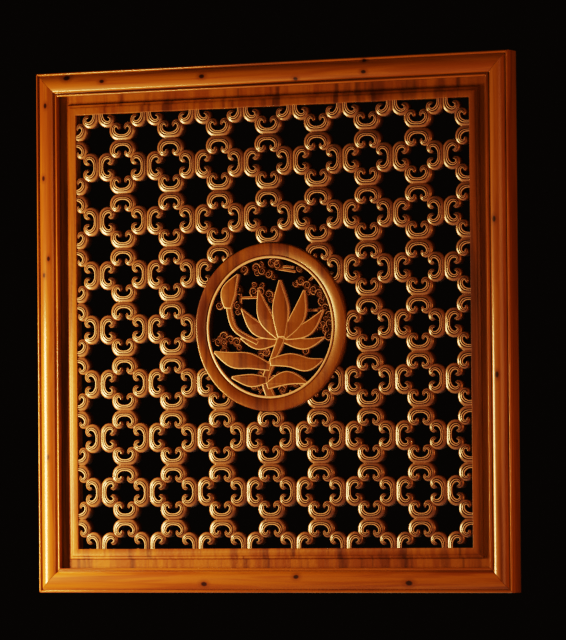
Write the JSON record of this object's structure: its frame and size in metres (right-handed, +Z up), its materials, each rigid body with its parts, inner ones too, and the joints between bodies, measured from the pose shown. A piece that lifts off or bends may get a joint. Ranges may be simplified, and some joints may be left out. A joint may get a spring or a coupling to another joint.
{
  "type": "decorative wall panel",
  "caption": "Square carved wooden wall panel: a moulded frame round a pierced lattice of C-scrolls with a round carved medallion in the middle.",
  "frame": {"origin": "middle of the flat back of the top rail, where the panel hangs on the wall", "axes": "+Z up, +X to the viewer's right, front faces -Y, +Y into the wall"},
  "size_m": [0.6, 0.0245, 0.6],
  "materials": {
    "frame_wood": "glossy amber varnish over knotty pine",
    "lattice_wood": "glossy amber varnish, darker in the grain",
    "medallion_wood": "glossy amber varnish"
  },
  "bodies": {
    "root": {"frame_rail_top": "frame_wood", "frame_rail_bottom": "frame_wood", "frame_stile_left": "frame_wood", "frame_stile_right": "frame_wood", "lattice_board": "lattice_wood", "medallion": "medallion_wood"}
  },
  "joints": []
}
